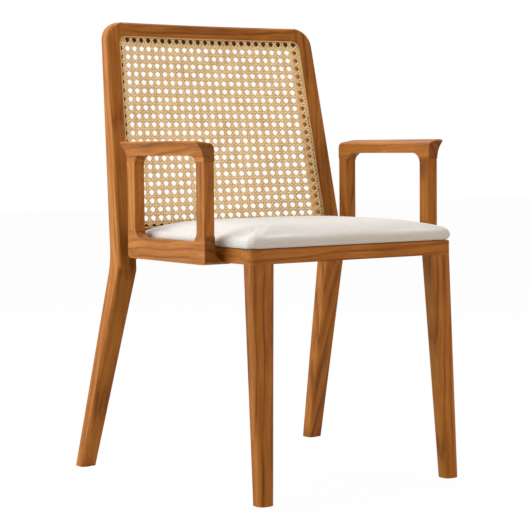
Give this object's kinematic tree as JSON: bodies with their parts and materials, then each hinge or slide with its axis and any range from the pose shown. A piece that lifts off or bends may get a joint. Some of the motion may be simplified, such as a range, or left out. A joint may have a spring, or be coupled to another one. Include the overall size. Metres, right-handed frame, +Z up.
{
  "type": "cane-back dining armchair",
  "caption": "Wooden dining armchair with a bowed open cane back, a padded linen seat and closed arm loops.",
  "frame": {"origin": "on the floor, in the middle of the chair's footprint", "axes": "+X to the viewer's right seen from the front, the front faces -Y, +Z up"},
  "size_m": [0.5762, 0.541, 0.854],
  "materials": {
    "frame_wood": "satin lacquer",
    "joinery_wood": "bare",
    "screw_steel": "zinc plated",
    "cane": "natural rattan skin",
    "reed": "natural reed",
    "linen": "plain weave",
    "foam": "open-cell foam",
    "plywood": "bare plywood",
    "dust_cloth": "non-woven",
    "glide_nylon": "moulded"
  },
  "bodies": {
    "root": {"rear_leg_left": "frame_wood", "rear_leg_right": "frame_wood", "crest_rail": "frame_wood", "lower_back_rail": "frame_wood", "seat_front_rail": "frame_wood", "seat_side_rail_left": "frame_wood", "seat_side_rail_right": "frame_wood", "seat_rear_rail": "frame_wood", "front_leg_left": "frame_wood", "front_leg_right": "frame_wood", "arm_top_left": "frame_wood", "arm_front_post_left": "frame_wood", "arm_rear_post_left": "frame_wood", "arm_lower_rail_left": "frame_wood", "arm_top_right": "frame_wood", "arm_front_post_right": "frame_wood", "arm_rear_post_right": "frame_wood", "arm_lower_rail_right": "frame_wood", "corner_blocks": "joinery_wood", "arm_dowels": "joinery_wood", "crest_dowels": "joinery_wood", "lower_back_dowels": "joinery_wood", "seat_frame_dowels": "joinery_wood", "rear_leg_dowels": "joinery_wood", "front_leg_dowels": "joinery_wood", "corner_block_screws": "screw_steel", "seat_screws": "screw_steel", "arm_screws": "screw_steel", "cane_panel": "cane", "cane_spline": "reed", "seat_cover": "linen", "seat_foam": "foam", "seat_board": "plywood", "dust_cover": "dust_cloth", "floor_glides": "glide_nylon"}
  },
  "joints": []
}
